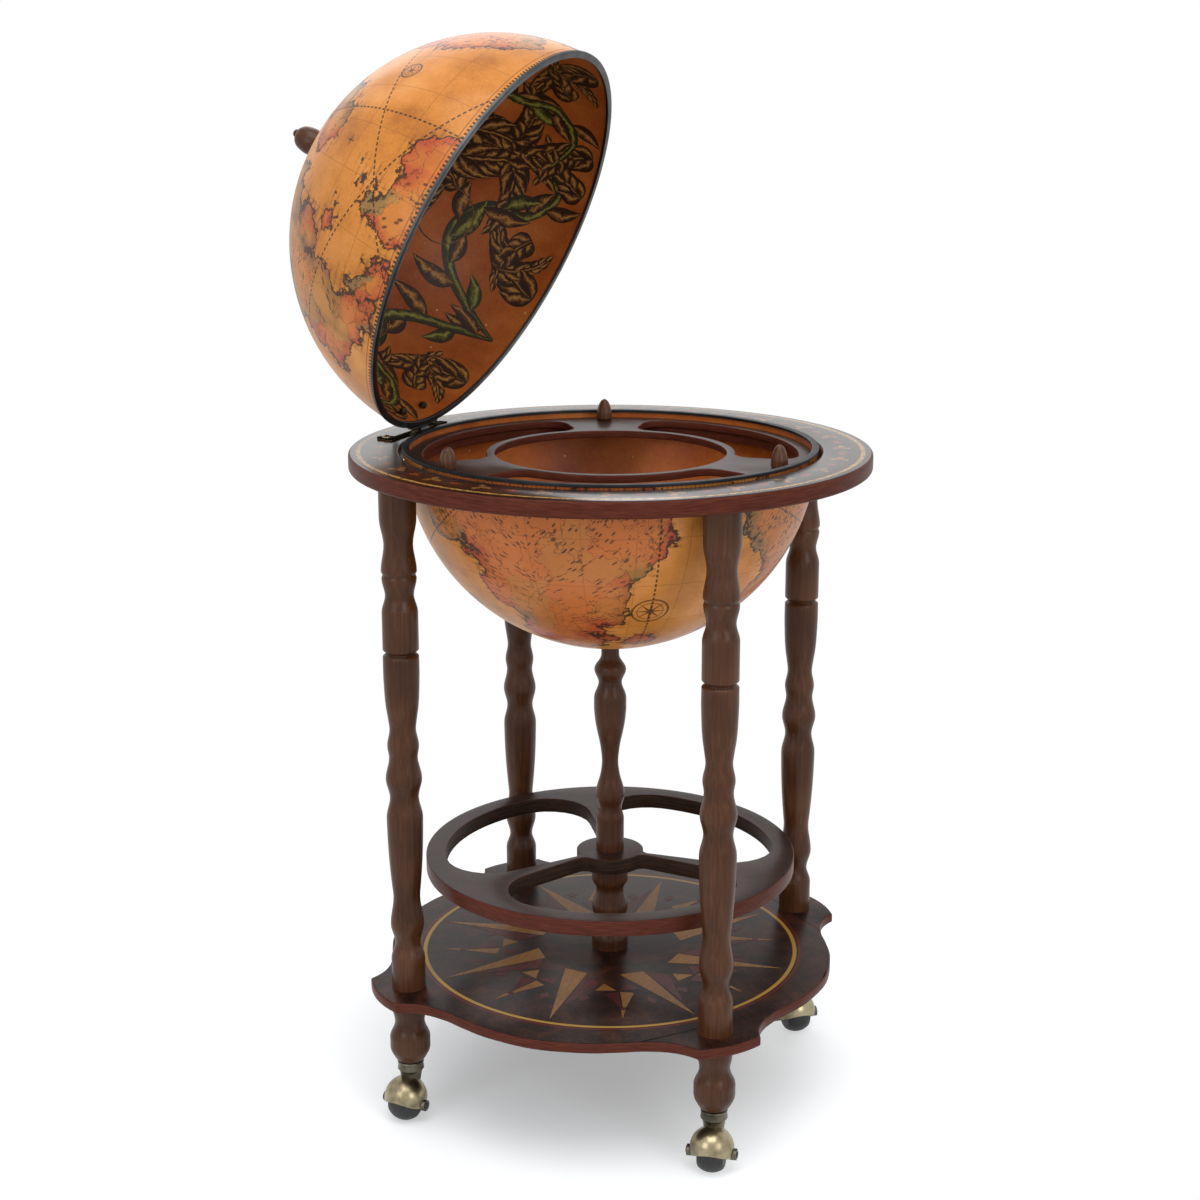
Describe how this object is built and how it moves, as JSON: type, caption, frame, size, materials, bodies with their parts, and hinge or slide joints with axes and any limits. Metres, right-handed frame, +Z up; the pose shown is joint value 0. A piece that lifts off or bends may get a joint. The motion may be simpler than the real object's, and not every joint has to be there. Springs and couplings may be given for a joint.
{
  "type": "floor globe bar",
  "caption": "Floor-standing globe drinks cabinet: hinged map lid, lift-out glass tray, bottle rack and shelf on turned legs with swivel casters.",
  "frame": {"origin": "on the floor, under the middle of the outline with the lid open", "axes": "+Z up; +Y towards the lid's hinge, at the back; -Y is the side the lid opens towards"},
  "size_m": [0.495, 0.5832, 1.0249],
  "materials": {
    "walnut": "turned beech stained walnut brown, satin varnish",
    "board": "boards with a dark brown marbled printed face, gloss varnish",
    "map": "papier-mache dome under a printed antique-style map, satin varnish",
    "dark_steel": "bronzed dark grey steel, satin",
    "antique_brass": "antique brass plating, satin",
    "zinc_steel": "zinc plated steel",
    "wheel": "hard black nylon, slightly scuffed"
  },
  "bodies": {
    "base": {"top_ring": "board", "bottom_shelf": "board", "bottle_rack": "board", "tray_ledge": "board", "bottle_floor": "board", "globe_lower_shell": "map", "lower_rim_band": "dark_steel", "post_upper": "walnut", "post_lower": "walnut", "pillar_bolt": "zinc_steel", "pillar_nut": "zinc_steel", "leg_back_right": "walnut", "leg_back_left": "walnut", "leg_front_left": "walnut", "leg_front_right": "walnut", "foot_back_right": "walnut", "foot_back_left": "walnut", "foot_front_left": "walnut", "foot_front_right": "walnut", "leg_stud_back_right": "zinc_steel", "leg_stud_back_left": "zinc_steel", "leg_stud_front_left": "zinc_steel", "leg_stud_front_right": "zinc_steel", "caster_stem_back_right": "zinc_steel", "caster_stem_back_left": "zinc_steel", "caster_stem_front_left": "zinc_steel", "caster_stem_front_right": "zinc_steel", "hinge_lower_leaf": "antique_brass", "hinge_pin": "dark_steel", "hinge_screw_left": "antique_brass", "hinge_screw_right": "antique_brass"},
    "lid": {"lid_shell": "map", "lid_rim_band": "dark_steel", "lid_knob": "walnut", "lid_knob_screw": "zinc_steel", "hinge_upper_leaf": "dark_steel", "lid_bolt_left": "antique_brass", "lid_bolt_right": "antique_brass", "lid_nut_left": "dark_steel", "lid_nut_right": "dark_steel"},
    "tray": {"glass_tray": "board", "tray_knob_front": "walnut", "tray_knob_right": "walnut", "tray_knob_left": "walnut"},
    "caster_back_right": {"caster_hood_back_right": "antique_brass", "caster_axle_back_right": "dark_steel"},
    "caster_back_left": {"caster_hood_back_left": "antique_brass", "caster_axle_back_left": "dark_steel"},
    "caster_front_left": {"caster_hood_front_left": "antique_brass", "caster_axle_front_left": "dark_steel"},
    "caster_front_right": {"caster_hood_front_right": "antique_brass", "caster_axle_front_right": "dark_steel"},
    "wheel_back_right": {"caster_wheel_back_right": "wheel"},
    "wheel_back_left": {"caster_wheel_back_left": "wheel"},
    "wheel_front_left": {"caster_wheel_front_left": "wheel"},
    "wheel_front_right": {"caster_wheel_front_right": "wheel"}
  },
  "joints": [
    {"name": "lid_hinge", "type": "hinge", "parent": "base", "child": "lid", "pos_m": [0, 0.15612, 0.6483], "axis": [-1, 0, 0], "range_deg": [-65, 0]},
    {"name": "tray_lift", "type": "slide", "parent": "base", "child": "tray", "axis": [0, 0, 1], "range_m": [0, 0.12]},
    {"name": "swivel_back_right", "type": "hinge", "parent": "base", "child": "caster_back_right", "pos_m": [0.14067, 0.12063, 0.05], "axis": [0, 0, 1], "continuous": true},
    {"name": "swivel_back_left", "type": "hinge", "parent": "base", "child": "caster_back_left", "pos_m": [-0.1647, 0.09659, 0.05], "axis": [0, 0, 1], "continuous": true},
    {"name": "swivel_front_left", "type": "hinge", "parent": "base", "child": "caster_front_left", "pos_m": [-0.14067, -0.20878, 0.05], "axis": [0, 0, 1], "continuous": true},
    {"name": "swivel_front_right", "type": "hinge", "parent": "base", "child": "caster_front_right", "pos_m": [0.1647, -0.18475, 0.05], "axis": [0, 0, 1], "continuous": true},
    {"name": "roll_back_right", "type": "hinge", "parent": "caster_back_right", "child": "wheel_back_right", "pos_m": [0.13184, 0.12532, 0.01863], "axis": [0.4695, 0.8829, 0], "continuous": true},
    {"name": "roll_back_left", "type": "hinge", "parent": "caster_back_left", "child": "wheel_back_left", "pos_m": [-0.17466, 0.09747, 0.01863], "axis": [0.0872, 0.9962, 0], "continuous": true},
    {"name": "roll_front_left", "type": "hinge", "parent": "caster_front_left", "child": "wheel_front_left", "pos_m": [-0.15049, -0.21069, 0.01863], "axis": [-0.1908, 0.9816, 0], "continuous": true},
    {"name": "roll_front_right", "type": "hinge", "parent": "caster_front_right", "child": "wheel_front_right", "pos_m": [0.15704, -0.19118, 0.01863], "axis": [-0.6428, 0.766, 0], "continuous": true}
  ]
}
